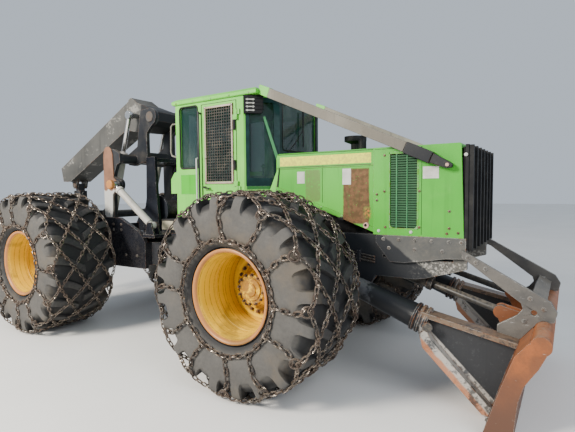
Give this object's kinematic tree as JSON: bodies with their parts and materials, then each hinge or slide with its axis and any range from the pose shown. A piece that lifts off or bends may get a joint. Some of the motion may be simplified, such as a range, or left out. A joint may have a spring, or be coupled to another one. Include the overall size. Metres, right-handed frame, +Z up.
{
  "type": "grapple skidder",
  "caption": "Articulated forestry grapple skidder with chained tyres, front blade, enclosed cab, leaning arch, boom and hanging log grapple.",
  "frame": {"origin": "on the ground under the middle of the whole length, in the middle plane", "axes": "+X ahead, +Y to the left, +Z up"},
  "size_m": [8.03, 3.7604, 3.505],
  "materials": {
    "green_paint": "gloss paint, sun worn",
    "frame_grey": "worn dark grey paint",
    "frame_black": "black paint, scuffed",
    "boom_grey": "faded dark grey paint",
    "blade_rust": "rusted and polished by soil",
    "arm_steel": "worn blue-black paint",
    "guard_steel": "bare grey steel with rust",
    "tan_rust": "even light rust",
    "chrome_rod": "polished rod",
    "silver_barrel": "silver-grey paint",
    "rim_yellow": "yellow paint, chipped",
    "tyre": "dusty rubber",
    "tyre_chain": "worn rusty chain",
    "cab_glass": "tinted, dusty",
    "seat_cloth": "black covering",
    "black_plastic": "matte",
    "mesh_dark": "dark painted mesh",
    "door_mesh": "black mesh, rusted frame",
    "riser_grey": "worn to grey"
  },
  "bodies": {
    "front_frame": {"front_chassis": "frame_grey", "engine_block": "frame_black", "hood": "green_paint", "radiator_housing": "green_paint", "side_mesh": "mesh_dark", "front_grille": "black_plastic", "cab_shell": "green_paint", "cab_roof": "green_paint", "cab_glass": "cab_glass", "seat": "seat_cloth", "console": "black_plastic", "roof_lamps": "black_plastic", "limb_risers": "riser_grey", "intake_stack": "black_plastic", "steps_rails": "frame_black"},
    "front_axle": {"front_axle": "frame_black"},
    "wheel_front_right": {"tyre_front_right": "tyre", "chain_front_right": "tyre_chain", "rim_front_right": "rim_yellow"},
    "wheel_front_left": {"tyre_front_left": "tyre", "chain_front_left": "tyre_chain", "rim_front_left": "rim_yellow"},
    "wheel_rear_right": {"tyre_rear_right": "tyre", "chain_rear_right": "tyre_chain", "rim_rear_right": "rim_yellow"},
    "wheel_rear_left": {"tyre_rear_left": "tyre", "chain_rear_left": "tyre_chain", "rim_rear_left": "rim_yellow"},
    "blade": {"blade_board": "blade_rust", "push_arms": "arm_steel", "guard_plates": "guard_steel"},
    "blade_barrels": {"blade_barrels": "frame_black"},
    "blade_rods": {"blade_rods": "chrome_rod"},
    "steer_barrel_right": {"steer_barrel_right": "frame_black"},
    "steer_rod_right": {"steer_rod_right": "chrome_rod"},
    "steer_barrel_left": {"steer_barrel_left": "frame_black"},
    "steer_rod_left": {"steer_rod_left": "chrome_rod"},
    "rear_frame": {"rear_chassis": "frame_black", "rear_axle": "frame_black", "winch_tower": "frame_black", "service_box": "frame_grey"},
    "arch": {"arch_frame": "frame_black", "arch_guards": "tan_rust"},
    "arch_barrels": {"arch_barrels": "silver_barrel"},
    "arch_rods": {"arch_rods": "chrome_rod"},
    "boom": {"boom": "boom_grey"},
    "boom_barrels": {"boom_barrels": "silver_barrel"},
    "boom_rods": {"boom_rods": "chrome_rod"},
    "crosshead": {"crosshead": "frame_black"},
    "rotator": {"rotator": "frame_black"},
    "grapple": {"grapple_head": "frame_black"},
    "tong_right": {"tong_right": "frame_black"},
    "tong_left": {"tong_left": "frame_black"},
    "door_right": {"door_right": "green_paint", "door_guard_right": "door_mesh", "door_glass_right": "cab_glass"},
    "door_left": {"door_left": "green_paint", "door_guard_left": "door_mesh", "door_glass_left": "cab_glass"}
  },
  "joints": [
    {"name": "steering", "type": "hinge", "parent": "front_frame", "child": "rear_frame", "pos_m": [-0.49, 0, 1.08], "axis": [0, 0, 1], "range_deg": [-45, 45]},
    {"name": "axle_oscillation", "type": "hinge", "parent": "front_frame", "child": "front_axle", "pos_m": [1.415, 0, 1], "axis": [1, 0, 0], "range_deg": [-15, 15]},
    {"name": "wheel_front_right", "type": "hinge", "parent": "front_axle", "child": "wheel_front_right", "pos_m": [1.415, -1.375, 1], "axis": [0, 1, 0], "continuous": true},
    {"name": "wheel_front_left", "type": "hinge", "parent": "front_axle", "child": "wheel_front_left", "pos_m": [1.415, 1.375, 1], "axis": [0, 1, 0], "continuous": true},
    {"name": "wheel_rear_right", "type": "hinge", "parent": "rear_frame", "child": "wheel_rear_right", "pos_m": [-2.395, -1.375, 1], "axis": [0, 1, 0], "continuous": true},
    {"name": "wheel_rear_left", "type": "hinge", "parent": "rear_frame", "child": "wheel_rear_left", "pos_m": [-2.395, 1.375, 1], "axis": [0, 1, 0], "continuous": true},
    {"name": "blade_lift", "type": "hinge", "parent": "front_frame", "child": "blade", "pos_m": [2.015, 0, 1.08], "axis": [0, -1, 0], "range_deg": [-10, 20]},
    {"name": "blade_barrels_turn", "type": "hinge", "parent": "front_frame", "child": "blade_barrels", "pos_m": [2.215, 0, 1.26], "axis": [0, -1, 0], "range_deg": [-11.36, 22.52]},
    {"name": "blade_rods_travel", "type": "slide", "parent": "blade_barrels", "child": "blade_rods", "axis": [0.9588, 0, -0.2841], "range_m": [-0.07537, 0.03869]},
    {"name": "steer_barrel_right_turn", "type": "hinge", "parent": "front_frame", "child": "steer_barrel_right", "pos_m": [0.265, -0.42, 1.08], "axis": [0, 0, 1], "range_deg": [-13.72, 13.72]},
    {"name": "steer_rod_right_travel", "type": "slide", "parent": "steer_barrel_right", "child": "steer_rod_right", "axis": [-0.9998, 0.0184, 0], "range_m": [-0.31516, 0.31516]},
    {"name": "steer_barrel_left_turn", "type": "hinge", "parent": "front_frame", "child": "steer_barrel_left", "pos_m": [0.265, 0.42, 1.08], "axis": [0, 0, 1], "range_deg": [-13.72, 13.72]},
    {"name": "steer_rod_left_travel", "type": "slide", "parent": "steer_barrel_left", "child": "steer_rod_left", "axis": [-0.9998, -0.0184, 0], "range_m": [-0.31516, 0.31516]},
    {"name": "arch_lean", "type": "hinge", "parent": "rear_frame", "child": "arch", "pos_m": [-1.965, 0, 1.44], "axis": [0, -1, 0], "range_deg": [0, 35]},
    {"name": "arch_barrels_turn", "type": "hinge", "parent": "rear_frame", "child": "arch_barrels", "pos_m": [-0.885, 0, 1.51], "axis": [0, -1, 0], "range_deg": [-0.2, 9.05]},
    {"name": "arch_rods_travel", "type": "slide", "parent": "arch_barrels", "child": "arch_rods", "axis": [-0.8117, 0, 0.584], "range_m": [-0.002, 0.39189]},
    {"name": "boom_lift", "type": "hinge", "parent": "arch", "child": "boom", "pos_m": [-1.385, 0, 3.14], "axis": [0, 1, 0], "range_deg": [-12, 30]},
    {"name": "boom_barrels_turn", "type": "hinge", "parent": "arch", "child": "boom_barrels", "pos_m": [-2.235, 0, 1.64], "axis": [0, 1, 0], "range_deg": [-0.205, 0.213]},
    {"name": "boom_rods_travel", "type": "slide", "parent": "boom_barrels", "child": "boom_rods", "axis": [0.2958, 0, 0.9552], "range_m": [-0.07855, 0.19339]},
    {"name": "grapple_swing", "type": "hinge", "parent": "boom", "child": "crosshead", "pos_m": [-3.745, 0, 2.12], "axis": [0, -1, 0], "range_deg": [-60, 20]},
    {"name": "grapple_side_swing", "type": "hinge", "parent": "crosshead", "child": "rotator", "pos_m": [-3.745, 0, 1.96], "axis": [1, 0, 0], "range_deg": [-25, 25]},
    {"name": "grapple_turn", "type": "hinge", "parent": "rotator", "child": "grapple", "pos_m": [-3.745, 0, 1.64], "axis": [0, 0, 1], "continuous": true},
    {"name": "tong_left_open", "type": "hinge", "parent": "grapple", "child": "tong_left", "pos_m": [-3.745, 0.255, 1.33], "axis": [1, 0, 0], "range_deg": [0, 60]},
    {"name": "tong_right_open", "type": "hinge", "parent": "grapple", "child": "tong_right", "pos_m": [-3.745, -0.255, 1.33], "axis": [-1, 0, 0], "range_deg": [-0.3, 60.3]},
    {"name": "door_right_swing", "type": "hinge", "parent": "front_frame", "child": "door_right", "pos_m": [0.725, -0.766, 2.5], "axis": [0, 0, 1], "range_deg": [0, 65]},
    {"name": "door_left_swing", "type": "hinge", "parent": "front_frame", "child": "door_left", "pos_m": [0.725, 0.766, 2.5], "axis": [0, 0, 1], "range_deg": [-65, 0]}
  ],
  "couplings": [
    {"joint": "blade_barrels_turn", "follows": "blade_lift", "ratio": 1.1159},
    {"joint": "blade_rods_travel", "follows": "blade_lift", "m_per_rad": -0.21019},
    {"joint": "steer_barrel_right_turn", "follows": "steering", "ratio": 0.30055},
    {"joint": "steer_rod_right_travel", "follows": "steering", "m_per_rad": -0.39873},
    {"joint": "steer_barrel_left_turn", "follows": "steering", "ratio": 0.30055},
    {"joint": "steer_rod_left_travel", "follows": "steering", "m_per_rad": 0.39873},
    {"joint": "arch_barrels_turn", "follows": "arch_lean", "ratio": 0.25275},
    {"joint": "arch_rods_travel", "follows": "arch_lean", "m_per_rad": 0.63825},
    {"joint": "boom_barrels_turn", "follows": "boom_lift", "ratio": 0.00044},
    {"joint": "boom_rods_travel", "follows": "boom_lift", "m_per_rad": 0.36552},
    {"joint": "tong_right_open", "follows": "tong_left_open", "ratio": 1}
  ]
}
